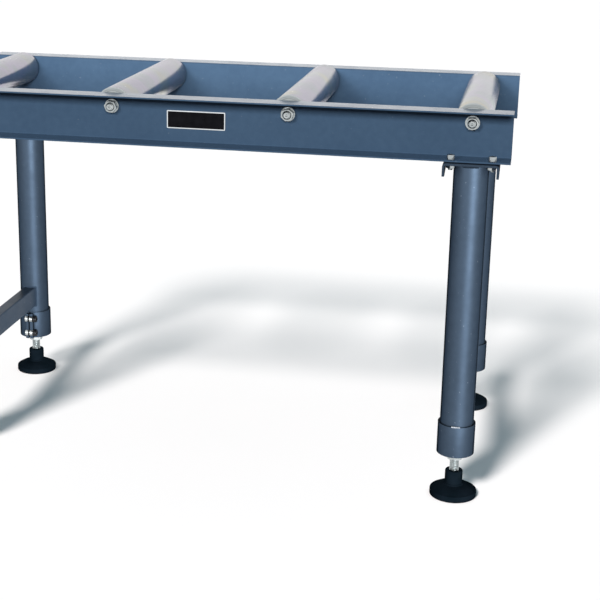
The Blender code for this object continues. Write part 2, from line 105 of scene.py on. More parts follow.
# Fasteners
SOCKET_HEAD = 0.008         # height
SOCKET_HEAD_RADIUS = 0.0065
SOCKET_FLATS = 0.006
SOCKET_DEPTH = 0.0042
BOLT_NUT_FLATS = 0.013
BOLT_NUT = 0.0065
AXLE_NUT_FLATS = 0.019
WASHER = 0.0025
WELD_NUT_FLATS = 0.024
FASTENER_GAP = 0.0001
WASHER_FIT = 0.0005
NUT_FACE = 0.475            # radius of a nut's flat face, in widths across its flats
NUT_SLOPE = math.tan(math.radians(30))      # of its turned corners
COUNTERSINK = 0.12          # in diameters of its thread
BOLT_CHAMFER = 0.001
ROD_CHAMFER = 0.0012        # of axles and spindles
DRILL_RADIUS = 0.0022
DRILL_DEPTH = 0.0025
DRILL_PROUD = 0.0002        # tip's base above the axle's end
DRILL_SIDES = 24
NUT_TURNS = {1: 11.0, 2: 21.0, 3: 47.0, 4: 33.0}        # degrees, as each nut came to rest

# Rollers and bearings
TUBE_WALL = 0.003
DISC_SUNK = 0.0003
DISC_LIP = 0.003
DISC_GAP = 0.0004           # line between the disc and its tube
RUNNING_FIT = 0.0003
BEARING_SUNK = 0.002
RING_WIDTH = 0.0031         # face of a bearing's rings
SHIELD_GROOVE = 0.0008
SHIELD_SUNK = 0.0006

# Legs, collars and feet
LEG_WALL = 0.003
SLIT = 0.003
COLLAR_BORE = 0.0288
COLLAR_GROOVE = 0.0020      # open groove between the collar's top and the leg
COLLAR_RIM = 0.0008
EAR_TIP = 0.0388            # from the leg's axis
EAR_THICKNESS = 0.006
EAR_BELOW_TOP = 0.0015
EAR_ROUNDING = 0.001
BUSH_RADIUS = 0.0065
BUSH_FROM_AXIS = 0.0368
BUSH_LENGTH = 0.0062
BUSH_FROM_END = 0.0125      # bush's axis from the collar's end
SCREW_PROUD = 0.002         # thread past the other bush
SLIDING_FIT = 0.0005
INNER_WALL = 0.003
END_PLATE = 0.012
STOP_FLANGE = 0.006
SPINDLE_BORE = 0.0083
BRACE_WALL = 0.002
BRACE_CORNER = 0.003
NECK_RADIUS = 0.015
PAD_RIM = 0.011
PAD_RISE = 0.011
DOME_RADIUS = 0.031         # middle of the pad's dome
DOME_RISE = 0.0056          # above its rim
SPINDLE_SEAT = 0.014

# Bare plate on the front rail
PLATE_LEFT, PLATE_RIGHT = -0.055, 0.0445
PLATE_LOW, PLATE_HIGH = 0.6075, 0.6375
PLATE_THICKNESS = 0.0012
PLATE_CORNER = 0.0016
PLATE_BORDER = 0.0016

# Weld beads
LEG_BEAD = 0.0024
BRACE_BEAD = 0.0018
TACK_BEAD = 0.0016
RIPPLE = 0.16               # share of a bead's radius
RIPPLE_PITCH = 0.0022
BEAD_END = 0.3              # radius of a bead's ends, as a share
LEG_BEAD_ARCS = (("inner", 2.0, 178.0), ("outer", 244.0, 296.0))        # degrees from +X
POINTS_PER_DEGREE = 0.8
TACK_START, TACK_ARC, TACK_STEPS = -104.0, 28.0, 24

# Places in the frame
RAIL_LOW, RAIL_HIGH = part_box("front_rail")
LEG_LOW, LEG_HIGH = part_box("leg_front_left")
LEG_RADIUS = (LEG_HIGH.x - LEG_LOW.x) / 2
COLLAR_LOW, COLLAR_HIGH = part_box("collar_front_left")
COLLAR_RADIUS = (COLLAR_HIGH.x - COLLAR_LOW.x) / 2
WEB_FRONT = RAIL_HIGH.y - RAIL_SHEET


def middle(node):
    """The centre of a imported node."""
    low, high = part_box(node)
    return (low + high) / 2


def half_size(node):
    """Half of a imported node's extent along each axis."""
    low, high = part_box(node)
    return (high - low) / 2


LEG_AXIS = middle("leg_front_left")
AXLE_LEVEL = middle("axle_1").z


# Modelling by hand

def alone(obj):
    """Select one object and nothing else."""
    bpy.ops.object.select_all(action="DESELECT")
    obj.select_set(True)
    bpy.context.view_layer.objects.active = obj


def named(name):
    """The primitive just added, with its place and size put into its mesh."""
    obj = bpy.context.object
    obj.name = obj.data.name = name
    bpy.ops.object.transform_apply(location=True, rotation=True, scale=True)
    return obj


def block(name, low, high):
    """A box between two opposite corners."""
    low, high = Vector(low), Vector(high)
    bpy.ops.mesh.primitive_cube_add(size=1.0, location=(low + high) / 2, scale=high - low)
    return named(name)


def rod(name, radius, low, high, sides=HOLE_SIDES, ends="NGON"):
    """A bar along Z between two heights, open if its ends are NOTHING."""
    bpy.ops.mesh.primitive_cylinder_add(vertices=sides, radius=radius, depth=high - low, end_fill_type=ends,
                                        location=(0.0, 0.0, (low + high) / 2))
    return named(name)


def edit(obj):
    alone(obj)
    bpy.ops.object.mode_set(mode="EDIT")
    bpy.ops.mesh.select_mode(type="FACE")
    bpy.ops.mesh.select_all(action="SELECT")


def leave_edit():
    bpy.ops.object.mode_set(mode="OBJECT")


def start_picking(kind):
    """In edit mode, select nothing, and open the mesh to pick its faces or its edges."""
    bpy.ops.mesh.select_mode(type=kind)
    bpy.ops.mesh.select_all(action="DESELECT")
    return bmesh.from_edit_mesh(bpy.context.object.data)


def pick_faces(test):
    """In edit mode, select the faces whose middle and normal pass the test."""
    for face in start_picking("FACE").faces:
        if test(face.calc_center_median(), face.normal):
            face.select_set(True)
    bmesh.update_edit_mesh(bpy.context.object.data)


def pick_edges(test):
    """In edit mode, select the edges whose middle and direction pass the test."""
    for edge in start_picking("EDGE").edges:
        start, end = (vert.co for vert in edge.verts)
        if test((start + end) / 2, (end - start).normalized()):
            edge.select_set(True)
    bmesh.update_edit_mesh(bpy.context.object.data)


def close_to(value, *places):
    return any(abs(value - place) < NEAR for place in places)


def extrude(offset):
    bpy.ops.mesh.extrude_region_move(TRANSFORM_OT_translate={"value": offset})


def slice_at(point, normal, **options):
    """Cut the selected faces along a plane."""
    bpy.ops.mesh.bisect(plane_co=point, plane_no=normal, threshold=MERGE, **options)


def slice_all(point, normal, **options):
    bpy.ops.mesh.select_all(action="SELECT")
    slice_at(point, normal, **options)


def round_edges(width, steps, test):
    pick_edges(test)
    bpy.ops.mesh.bevel(offset=width, offset_type="OFFSET", segments=steps, profile=0.5, affect="EDGES",
                       clamp_overlap=False)


def heal():
    """Merge doubles and turn all faces outwards."""
    bpy.ops.mesh.select_all(action="SELECT")
    bpy.ops.mesh.remove_doubles(threshold=MERGE)
    bpy.ops.mesh.normals_make_consistent(inside=False)


def apply_modifier(obj, kind, **settings):
    modifier = obj.modifiers.new(kind.lower(), kind)
    for key, value in settings.items():
        setattr(modifier, key, value)
    alone(obj)
    bpy.ops.object.modifier_apply(modifier=modifier.name)


def combine(obj, other, operation):
    """Join the other object to this one, cut it out or keep what both share; the other is used up."""
    apply_modifier(obj, "BOOLEAN", operation=operation, solver="EXACT", object=other)
    bpy.data.objects.remove(other, do_unlink=True)


def cut(obj, tool, matrix=None):
    if matrix:
        tool.data.transform(matrix)
    combine(obj, tool, "DIFFERENCE")


def smooth(obj):
    alone(obj)
    bpy.ops.object.shade_smooth_by_angle(angle=SMOOTH_ANGLE)


def soften(obj, width=SHEET_EDGE):
    """Round the sharp edges a little, and keep flat faces flat."""
    apply_modifier(obj, "BEVEL", width=width, segments=2, limit_method="ANGLE", angle_limit=SMOOTH_ANGLE,
                   use_clamp_overlap=True)
    alone(obj)
    bpy.ops.object.shade_smooth()
    apply_modifier(obj, "WEIGHTED_NORMAL", weight=80, keep_sharp=False)


def rounded(corners):
    """An outline whose corners (radius, height, rounding) become curves; a rounding may be left out."""
    outline = []
    last = len(corners) - 1
    for index, (radius, height, *rounding) in enumerate(corners):
        corner = Vector((radius, height))
        if not rounding or index in (0, last):
            outline.append(corner)
            continue
        before = corner + (Vector(corners[index - 1][:2]) - corner).normalized() * rounding[0]
        after = corner + (Vector(corners[index + 1][:2]) - corner).normalized() * rounding[0]
        for step in range(CORNER_STEPS + 1):
            share = step / CORNER_STEPS
            outline.append(before.lerp(corner, share).lerp(corner.lerp(after, share), share))
    return outline


def drawn(name, outline):
    """One vertex extruded along an outline of (radius, height) points, left in edit mode."""
    bpy.ops.mesh.primitive_plane_add(size=SPECK, location=(outline[0][0], 0.0, outline[0][1]))
    obj = named(name)
    edit(obj)
    bpy.ops.mesh.select_mode(type="VERT")
    bpy.ops.mesh.select_all(action="SELECT")
    bpy.ops.mesh.merge(type="CENTER")
    for start, end in zip(outline, outline[1:]):
        offset = (end[0] - start[0], 0.0, end[1] - start[1])
        bpy.ops.mesh.extrude_vertices_move(TRANSFORM_OT_translate={"value": offset})
    return obj


def turned(name, corners, steps=ROUND_SIDES):
    """A piece turned about Z from an outline that ends where it began, or begins and ends on the axis."""
    obj = drawn(name, rounded(corners))
    bpy.ops.mesh.select_all(action="SELECT")
    bpy.ops.mesh.spin(steps=steps, angle=2 * math.pi, center=(0.0, 0.0, 0.0), axis=UP)
    heal()
    leave_edit()
    smooth(obj)
    return obj


def ring(name, corners, steps=ROUND_SIDES):
    return turned(name, [*corners, corners[0]], steps)


def threaded(name, thread, low, high, chamfer):
    """A threaded bar along Z: one tooth runs up a helix, its ends are cut square and chamfered."""
    diameter, pitch = thread
    crest = diameter / 2
    depth = TOOTH_DEPTH * pitch
    turns = math.ceil((high - low) / pitch) + 3
    bar = drawn(name, [(crest - depth * (1 - out), low + (place - 2) * pitch) for out, place in TOOTH])
    leave_edit()
    apply_modifier(bar, "SCREW", angle=2 * math.pi, screw_offset=pitch, iterations=turns, axis="Z",
                   steps=THREAD_SIDES, render_steps=THREAD_SIDES)
    edit(bar)
    heal()
    slice_all((0.0, 0.0, low), UP, use_fill=True, clear_inner=True)
    slice_all((0.0, 0.0, high), UP, use_fill=True, clear_outer=True)
    heal()
    mesh = bpy.context.object.data
    shape = bmesh.from_edit_mesh(mesh)
    for vert in shape.verts:
        from_end = min(vert.co.z - low, high - vert.co.z)
        limit = crest - max(0.0, chamfer - from_end)
        flat = vert.co.to_2d()
        if flat.length > limit:
            vert.co.xy = flat * limit / flat.length
    bmesh.update_edit_mesh(mesh)
    leave_edit()
    smooth(bar)
    return bar


def hex_nut(name, flats, low, high, thread_diameter):
    """A nut along Z with its corners turned off and a countersunk bore."""
    corner = flats / math.sqrt(3)
    face = NUT_FACE * flats
    reach = 2 * corner - face
    drop = (reach - face) * NUT_SLOPE
    tip = 2 * face - reach                  # the barrel runs on past both ends of the nut
    nut = rod(name, corner, low, high, sides=6)
    combine(nut, turned("barrel", [(0.0, high + drop), (tip, high + drop), (reach, high - drop),
                                   (reach, low + drop), (tip, low - drop), (0.0, low - drop)]), "INTERSECT")
    bore = thread_diameter / 2 + FASTENER_GAP
    sink = COUNTERSINK * thread_diameter
    cut(nut, turned("nut_bore", [(0.0, high + sink), (bore + 2 * sink, high + sink), (bore, high - sink),
                                 (bore, low + sink), (bore + 2 * sink, low - sink), (0.0, low - sink)],
                    HOLE_SIDES))
    smooth(nut)
    return nut


def bead(name, points, radius, closed):
    """A rippled weld bead along a path."""
    curve = bpy.data.curves.new(name, "CURVE")
    curve.dimensions = "3D"
    curve.bevel_depth = radius
    curve.bevel_resolution = 3
    curve.use_fill_caps = not closed
    spline = curve.splines.new("POLY")
    spline.points.add(len(points) - 1)
    run = 0.0
    for index, (point, place) in enumerate(zip(spline.points, points)):
        if index:
            run += (Vector(place) - Vector(points[index - 1])).length
        point.co = (*place, 1.0)
        point.radius = 1.0 + RIPPLE * math.sin(2 * math.pi * run / RIPPLE_PITCH)
    if not closed:
        spline.points[0].radius = spline.points[-1].radius = BEAD_END
    spline.use_cyclic_u = closed
    obj = bpy.data.objects.new(name, curve)
    bpy.context.scene.collection.objects.link(obj)
    alone(obj)
    bpy.ops.object.convert(target="MESH")
    obj = bpy.context.object
    edit(obj)
    heal()
    leave_edit()
    smooth(obj)
    return obj


# Finishes

MIX_A, MIX_B, MIX_RESULT = 6, 7, 2      # colour sockets of a Mix node
DARK_EDGE = (0.1, 0.1, 0.1, 1.0)        # reflection of the metallic share along an outline
SPECK_COLOR = (0.22, 0.26, 0.31)
SCUFF_COLOR = (0.35, 0.36, 0.37)
DUST_COLOR = (0.08, 0.10, 0.12)
ROUGH_SPREAD = 0.05


def add_node(material, kind, inputs=None, **settings):
    """A new shader node with its settings and the values of its sockets."""
    made = material.node_tree.nodes.new(kind)
    for key, value in settings.items():
        setattr(made, key, value)
    for socket, value in (inputs or {}).items():
        made.inputs[socket].default_value = value
    return made


def wire(material, output, socket):
    material.node_tree.links.new(output, socket)


def new_finish(name, roughness, metallic, gloss=0.5):
    material = bpy.data.materials.new(name)
    material.use_nodes = True
    shader = material.node_tree.nodes["Principled BSDF"]
    shader.inputs["Roughness"].default_value = roughness
    shader.inputs["Metallic"].default_value = metallic
    shader.inputs["Specular IOR Level"].default_value = gloss
    return material, shader


def clouds(material, scale, detail, stretch=(1.0, 1.0, 1.0)):
    """Noise over the piece, drawn out along its axes."""
    place = add_node(material, "ShaderNodeTexCoord")
    mapping = add_node(material, "ShaderNodeMapping", {"Scale": stretch})
    pattern = add_node(material, "ShaderNodeTexNoise", {"Scale": scale, "Detail": detail})
    wire(material, place.outputs["Object"], mapping.inputs["Vector"])
    wire(material, mapping.outputs["Vector"], pattern.inputs["Vector"])
    return pattern.outputs["Fac"]


def shades(material, pattern, *stops):
    """Colours along a pattern, each stop a place and a colour."""
    ramp = add_node(material, "ShaderNodeValToRGB")
    elements = ramp.color_ramp.elements
    while len(elements) < len(stops):
        elements.new(0.5)
    for element, (place, color) in zip(elements, stops):
        element.position = place
        element.color = (*color, 1.0)
    wire(material, pattern, ramp.inputs["Fac"])
    return ramp.outputs["Color"]


def spread(material, pattern, low, high, start=0.3, end=0.7):
    """The middle of a pattern stretched to run from low to high."""
    stretch = add_node(material, "ShaderNodeMapRange",
                       {"From Min": start, "From Max": end, "To Min": low, "To Max": high})
    wire(material, pattern, stretch.inputs["Value"])
    return stretch.outputs["Result"]


def blend(material, share, first, second):
    """A plain colour laid over another by a share."""
    mix = add_node(material, "ShaderNodeMix", {MIX_B: (*second, 1.0)}, data_type="RGBA")
    wire(material, share, mix.inputs["Factor"])
    wire(material, first, mix.inputs[MIX_A])
    return mix.outputs[MIX_RESULT]


def relief(material, shader, *layers):
    """Bump from patterns, each with its strength and its height."""
    below = None
    for pattern, strength, height in layers:
        bump = add_node(material, "ShaderNodeBump", {"Strength": strength, "Distance": height})
        wire(material, pattern, bump.inputs["Height"])
        if below:
            wire(material, below, bump.inputs["Normal"])
        below = bump.outputs["Normal"]
    wire(material, below, shader.inputs["Normal"])


def blue_grey_paint(name, rough, sheen, gloss, dark, light):
    """Satin paint: clouded a little, with an orange-peel skin and a few pale specks."""
    material, shader = new_finish(name, rough, sheen, gloss)
    shader.inputs["Specular Tint"].default_value = DARK_EDGE
    broad = shades(material, clouds(material, 7.0, 6.0), (0.3, dark), (0.7, light))
    fine = shades(material, clouds(material, 90.0, 8.0), (0.35, dark), (0.65, light))
    body = add_node(material, "ShaderNodeMix", {"Factor": 0.4}, data_type="RGBA")
    wire(material, broad, body.inputs[MIX_A])
    wire(material, fine, body.inputs[MIX_B])
    specks = spread(material, clouds(material, 260.0, 1.0), 0.0, 0.45, 0.75, 0.80)
    body_color = body.outputs[MIX_RESULT]
    wire(material, blend(material, specks, body_color, SPECK_COLOR), shader.inputs["Base Color"])
    wire(material, spread(material, clouds(material, 34.0, 5.0), rough - ROUGH_SPREAD, rough + ROUGH_SPREAD),
         shader.inputs["Roughness"])
    relief(material, shader, (clouds(material, 14.0, 2.0), 0.12, 0.0015),
           (clouds(material, 620.0, 2.0), 0.10, 0.0002))
    return material


def roller_zinc():
    """Turned steel with a thin passivated zinc skin: faint yellow and violet clouds over fine rings."""
    material, shader = new_finish("roller_zinc", 0.18, 0.9, 0.3)
    cloud = shades(material, clouds(material, 9.0, 5.0), (0.34, (0.49, 0.46, 0.36)),
                   (0.46, (0.42, 0.43, 0.44)), (0.55, (0.44, 0.41, 0.49)), (0.68, (0.37, 0.41, 0.41)))
    rings = clouds(material, 1.0, 4.0, stretch=(5.0, 900.0, 5.0))
    scuffs = spread(material, clouds(material, 1.0, 6.0, stretch=(18.0, 120.0, 18.0)), 0.0, 0.35, 0.5, 0.75)
    wire(material, blend(material, scuffs, cloud, SCUFF_COLOR), shader.inputs["Base Color"])
    wire(material, spread(material, rings, 0.12, 0.24), shader.inputs["Roughness"])
    relief(material, shader, (rings, 0.10, 0.0001), (clouds(material, 30.0, 3.0), 0.08, 0.0005))
    shader.inputs["Anisotropic"].default_value = 0.75
    shader.inputs["Anisotropic Rotation"].default_value = 0.25
    round_axis = add_node(material, "ShaderNodeTangent", direction_type="RADIAL", axis="Y")
    wire(material, round_axis.outputs["Tangent"], shader.inputs["Tangent"])
    return material


def clouded(name, base, tones, colors, roughness, grain, places=(0.3, 0.7), dust=None):
    """A finish of clouded tone and roughness under a fine grain.

    base is its roughness, metallic share and gloss. tones is the scale and the detail of the noise that
    spreads the colours. roughness, grain and dust begin with a scale and a detail too; then come the ends
    of the roughness, the grain's strength and height, and the most that the dust covers.
    """
    material, shader = new_finish(name, *base)
    color = shades(material, clouds(material, *tones), *zip(places, colors))
    if dust:
        *noise, most = dust
        share = spread(material, clouds(material, *noise), 0.0, most, 0.5, 0.8)
        color = blend(material, share, color, DUST_COLOR)
    wire(material, color, shader.inputs["Base Color"])
    if roughness:
        *noise, low, high = roughness
        wire(material, spread(material, clouds(material, *noise), low, high), shader.inputs["Roughness"])
    *noise, strength, height = grain
    relief(material, shader, (clouds(material, *noise), strength, height))
    return material


# The whole frame wears one blue-grey paint. Its copies for the tubes, brackets, collars and leg welds, and
# for the braces, are coloured darker than the rails' copy: painted shade.
RAIL_PAINT = blue_grey_paint("rail_paint", 0.20, 0.0, 0.35, (0.045, 0.082, 0.138), (0.057, 0.101, 0.165))
SHADED_BRACE_PAINT = blue_grey_paint("brace_paint_shaded", 0.35, 0.0, 0.10, (0.040, 0.064, 0.100), (0.050, 0.078, 0.121))
SHADED_TUBE_PAINT = blue_grey_paint("tube_paint_shaded", 0.50, 0.7, 0.0, (0.040, 0.059, 0.087), (0.049, 0.072, 0.105))
ROLLER_ZINC = roller_zinc()
DISC_ZINC = clouded(
    "disc_zinc", (0.5, 0.3, 0.2), (60.0, 4.0), ((0.43, 0.46, 0.46), (0.49, 0.52, 0.52)),
    (300.0, 3.0, 0.42, 0.55), (900.0, 2.0, 0.08, 0.00008))
BRIGHT_ZINC = clouded(
    "bright_zinc", (0.26, 1.0), (120.0, 4.0), ((0.40, 0.44, 0.45), (0.56, 0.59, 0.59)),
    (400.0, 3.0, 0.22, 0.36), (900.0, 2.0, 0.10, 0.00008))
BEARING_STEEL = clouded(
    "bearing_steel", (0.2, 1.0), (80.0, 4.0), ((0.52, 0.52, 0.53), (0.63, 0.63, 0.62)),
    (500.0, 3.0, 0.16, 0.30), (700.0, 2.0, 0.05, 0.00005))
BLACK_PLASTIC = clouded(
    "black_plastic", (0.4, 0.0, 0.0), (40.0, 6.0), ((0.004, 0.008, 0.012), (0.007, 0.012, 0.018)),
    (60.0, 4.0, 0.36, 0.50), (1100.0, 2.0, 0.14, 0.00012), dust=(22.0, 8.0, 0.04))
BLACK_OXIDE = clouded(
    "black_oxide", (0.38, 0.5), (150.0, 4.0), ((0.008, 0.009, 0.011), (0.020, 0.021, 0.024)),
    (300.0, 3.0, 0.30, 0.46), (900.0, 2.0, 0.10, 0.0001))
# A pale grey finish for the collars' tack welds, much lighter than the paint on the other welds: a painted
# highlight for the glint on each tack.
TACK_HIGHLIGHT_GREY = clouded(
    "tack_highlight_grey", (0.45, 0.4, 0.2), (260.0, 3.0), ((0.24, 0.26, 0.29), (0.40, 0.42, 0.46), (0.24, 0.23, 0.22)),
    (500.0, 3.0, 0.38, 0.55), (700.0, 3.0, 0.2, 0.0002), places=(0.3, 0.6, 0.75))
# Near-black finish for the groove at each collar's top: painted shade for the crevice between collar and leg.
GROOVE_SHADE = clouded(
    "groove_shade_paint", (0.6, 0.0, 0.1), (200.0, 4.0), ((0.006, 0.009, 0.014), (0.014, 0.019, 0.027)),
    None, (800.0, 2.0, 0.1, 0.0001))


def plate_enamel(name, dark, light):
    """Printed enamel of the bare plate."""
    return clouded(name, (0.3, 0.0, 0.02), (70.0, 5.0), (dark, light), (160.0, 4.0, 0.26, 0.38),
                   (900.0, 2.0, 0.04, 0.00006))


PLATE_BLACK = plate_enamel("plate_black", (0.004, 0.004, 0.005), (0.009, 0.009, 0.011))
PLATE_WHITE = plate_enamel("plate_white", (0.66, 0.69, 0.71), (0.76, 0.78, 0.79))


# Putting pieces in their places

PIECES = []


def put(master, name, body, slot, finish, matrix, *nodes):
    """A copy of a piece in its place, riding on its body and standing for its nodes."""
    piece = master.copy()
    piece.data = master.data.copy()
    piece.name = piece.data.name = name
    bpy.context.scene.collection.objects.link(piece)
    piece.data.transform(matrix)
    if not piece.data.materials:
        piece.data.materials.append(finish)
    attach(piece, body)
    if nodes:
        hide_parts(*nodes)
    PIECES.append(piece)
    return piece


def clear_away(*masters):
    for master in masters:
        bpy.data.objects.remove(master, do_unlink=True)


def corners():
    """Each leg's name and the matrix that puts a leg's pieces in their place."""
    for row, _, turn in ROWS:
        for end, _ in ENDS:
            corner = f"{row}_{end}"
            spot = middle(f"leg_{corner}")
            yield corner, Matrix.Translation((spot.x, spot.y, 0.0)) @ Matrix.Rotation(turn, 4, "Z")


def leg_place(node):
    """A node's centre, as seen from the axis of the front left leg."""
    return middle(node) - Vector((LEG_AXIS.x, LEG_AXIS.y, 0.0))


# Rails

def rail_channel():
    """Channel of bent sheet, as the front rail, with its axle and bolt holes."""
    inner_levels = (RAIL_LOW.z + RAIL_SHEET, RAIL_HIGH.z - RAIL_SHEET)
    rail = block("rail", (RAIL_LOW.x, WEB_FRONT, RAIL_LOW.z), RAIL_HIGH)
    edit(rail)
    for level in inner_levels:
        slice_all((0.0, 0.0, level), UP)
    pick_faces(lambda spot, normal: normal.y < -0.9 and not inner_levels[0] < spot.z < inner_levels[1])
    extrude((0.0, RAIL_LOW.y - WEB_FRONT, 0.0))
    bpy.ops.mesh.select_all(action="SELECT")
    bpy.ops.mesh.dissolve_limited(angle_limit=math.radians(1.0))
    round_edges(RAIL_SHEET + BEND_INSIDE, BEND_STEPS, lambda spot, way: abs(way.x) > 0.9
                and close_to(spot.y, RAIL_HIGH.y) and close_to(spot.z, RAIL_LOW.z, RAIL_HIGH.z))
    round_edges(BEND_INSIDE, BEND_STEPS, lambda spot, way: abs(way.x) > 0.9
                and close_to(spot.y, WEB_FRONT) and close_to(spot.z, *inner_levels))
    leave_edit()
    for number in ROLLERS:
        spot = middle(f"axle_{number}")
        tool = rod("axle_hole", AXLE_HOLE, -MARGIN, RAIL_SHEET + MARGIN)
        cut(rail, tool, Matrix.Translation((spot.x, RAIL_HIGH.y, spot.z)) @ TO_FRONT)
    for end, _ in ENDS:
        for number in (1, 2):
            spot = middle(f"bracket_bolt_front_{end}_{number}")
            tool = rod("bolt_hole", BOLT_HOLE, RAIL_LOW.z - MARGIN, RAIL_LOW.z + RAIL_SHEET + MARGIN)
            cut(rail, tool, Matrix.Translation((spot.x, spot.y, 0.0)))
    soften(rail)
    return rail


def bare_plate():
    """Thin plate on the front rail: a dark field inside a pale border."""
    back = WEB_FRONT
    plate = block("plate", (PLATE_LEFT, back - PLATE_THICKNESS, PLATE_LOW), (PLATE_RIGHT, back, PLATE_HIGH))
    edit(plate)
    round_edges(PLATE_CORNER, BEND_STEPS, lambda spot, way: abs(way.y) > 0.9)
    pick_faces(lambda spot, normal: normal.y < -0.9)
    bpy.ops.mesh.inset(thickness=PLATE_BORDER)
    extrude((0.0, PLATE_THICKNESS / 5, 0.0))
    leave_edit()
    plate.data.materials.append(PLATE_WHITE)
    plate.data.materials.append(PLATE_BLACK)
    for face in plate.data.polygons:
        inside = PLATE_LEFT + PLATE_BORDER < face.center.x < PLATE_RIGHT - PLATE_BORDER
        field = inside and face.normal.y < -0.9 and face.center.y > back - PLATE_THICKNESS + NEAR
        face.material_index = 1 if field else 0
    soften(plate, PLATE_THICKNESS / 6)
    return plate


def make_rails():
    rail = rail_channel()
    put(rail, "front_channel", "frame", "paint", RAIL_PAINT, Matrix.Identity(4), "front_rail")
    put(rail, "rear_channel", "frame", "paint", RAIL_PAINT, Matrix.Rotation(math.pi, 4, "Z"), "rear_rail")
    plate = bare_plate()
    put(plate, "bare_plate", "frame", "black_plastic", PLATE_BLACK, Matrix.Identity(4))
    clear_away(rail, plate)


# Rollers

def mirrored(upper):
    """An outline that begins with these corners and ends with their mirror image below Z = 0."""
    return upper + [(radius, -height, *rounding) for radius, height, *rounding in reversed(upper)]


def roller_tube():
    """Tube with rounded ends and a sunk end disc in each end, bored for its bearing."""
    _, half, radius = half_size("roller_1")
    _, bearing_half, bearing_radius = half_size("bearing_1_front")
    bore = radius - TUBE_WALL
    seat = bearing_radius + RUNNING_FIT
    face = half - DISC_SUNK
    lip_front = half - BEARING_SUNK - 2 * bearing_half - RUNNING_FIT
    lip_back = lip_front - DISC_LIP
    upper = [(bore, lip_back), (seat - DISC_LIP, lip_back), (seat - DISC_LIP, lip_front), (seat, lip_front),
             (seat, face, 0.0006), (bore - DISC_GAP, face, 0.0005), (bore, half, 0.0004),
             (radius, half, 0.0016)]
    roller = ring("roller", mirrored(upper), 2 * ROUND_SIDES)
    roller.data.materials.append(ROLLER_ZINC)
    roller.data.materials.append(DISC_ZINC)
    for polygon in roller.data.polygons:
        polygon.material_index = 1 if abs(polygon.normal.z) > 0.3 else 0
    return roller


def ball_bearing():
    """Bearing with two ground rings and a sunk shield on each side."""
    _, half, outside = half_size("bearing_1_front")
    bore = half_size("axle_1").z + RUNNING_FIT
    shield = half - SHIELD_SUNK
    upper = [(bore, half, 0.0005), (bore + RING_WIDTH, half, 0.0002), (bore + RING_WIDTH, shield),
             (outside - RING_WIDTH - SHIELD_GROOVE, shield), (outside - RING_WIDTH, shield - 0.0005),
             (outside - RING_WIDTH, half, 0.0002), (outside, half, 0.0007)]
    return ring("bearing", mirrored(upper))


def dust_cap():
    """Thin pressed cap over a bearing, along Z from its outer face inwards."""
    outside = half_size("bearing_1_front").z
    hole = half_size("axle_1").z + 2 * RUNNING_FIT
    face = -DISC_SUNK
    back = RUNNING_FIT - BEARING_SUNK
    return ring("cap", [(hole, back), (hole, face, 0.0004), (outside, face, 0.0005), (outside, back)])


def axle_bar():
    """Ground bar with a threaded end through each rail and a centre drilled in each end."""
    _, end, radius = half_size("axle_1")
    shoulder = -RAIL_HIGH.y - RUNNING_FIT
    bar = turned("axle", [(0.0, shoulder), (radius, shoulder, 0.0006), (radius, -shoulder, 0.0006),
                          (0.0, -shoulder)])
    for way in (Matrix.Identity(4), Matrix.Rotation(math.pi, 4, "X")):
        thread = threaded("axle_thread", M12, shoulder - RAIL_SHEET, end, ROD_CHAMFER)
        thread.data.transform(way)
        combine(bar, thread, "UNION")
        drill = turned("centre_drill", [(0.0, end - DRILL_DEPTH), (DRILL_RADIUS, end + DRILL_PROUD),
                                        (0.0, end + DRILL_PROUD)], DRILL_SIDES)
        cut(bar, drill, way)
    smooth(bar)
    return bar


def flat_washer():
    outside = half_size("axle_nut_1_front").z
    hole = M12[0] / 2 + WASHER_FIT
    return ring("washer", [(hole, 0.0), (hole, WASHER, 0.0003), (outside, WASHER, 0.0007),
                           (outside, 0.0, 0.0003)])


def make_rollers():
    tube = roller_tube()
    bearing = ball_bearing()
    cap = dust_cap()
    roller_half = half_size("roller_1").y
    bar = axle_bar()
    washer = flat_washer()
    nut_low, nut_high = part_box("axle_nut_1_front")
    nut = hex_nut("axle_nut", AXLE_NUT_FLATS, WASHER + FASTENER_GAP, nut_high.y - nut_low.y, M12[0])
    for number in ROLLERS:
        x = middle(f"roller_{number}").x
        along = Matrix.Translation((x, 0.0, AXLE_LEVEL)) @ TO_FRONT
        put(tube, f"roller_tube_{number}", f"roller_{number}", "roller_zinc", ROLLER_ZINC, along,
            f"roller_{number}")
        put(bar, f"axle_bar_{number}", "frame", "bright_zinc", BRIGHT_ZINC, along, f"axle_{number}")
        for row, side, _ in ROWS:
            spot = middle(f"bearing_{number}_{row}")
            put(bearing, f"ball_bearing_{number}_{row}", f"roller_{number}", "bearing_steel", BEARING_STEEL,
                Matrix.Translation(spot) @ TO_FRONT, f"bearing_{number}_{row}")
            outward = TO_FRONT if side < 0 else TO_REAR
            seat = Matrix.Translation((x, -side * nut_high.y, AXLE_LEVEL)) @ outward
            roller_end = Matrix.Translation((x, side * roller_half, AXLE_LEVEL)) @ outward
            put(cap, f"dust_cap_{number}_{row}", f"roller_{number}", "roller_zinc", DISC_ZINC, roller_end)
            spin = Matrix.Rotation(math.radians(NUT_TURNS[number]), 4, "Z")
            put(washer, f"flat_washer_{number}_{row}", "frame", "bright_zinc", BRIGHT_ZINC, seat)
            put(nut, f"hex_nut_{number}_{row}", "frame", "bright_zinc", BRIGHT_ZINC, seat @ spin,
                f"axle_nut_{number}_{row}")
    clear_away(tube, bearing, cap, bar, washer, nut)


# Legs

def leg_tube():
    """Tube slit at its lower end, where the collar closes it."""
    tube = rod("leg", LEG_RADIUS, LEG_LOW.z, LEG_HIGH.z, ROUND_SIDES, "NOTHING")
    apply_modifier(tube, "SOLIDIFY", thickness=LEG_WALL, offset=-1.0)
    slit = block("leg_slit", (-SLIT / 2, 0.0, LEG_LOW.z - MARGIN),
                 (SLIT / 2, 2 * LEG_RADIUS, COLLAR_HIGH.z))
    cut(tube, slit)
    soften(tube, SHEET_EDGE / 2)
    return tube


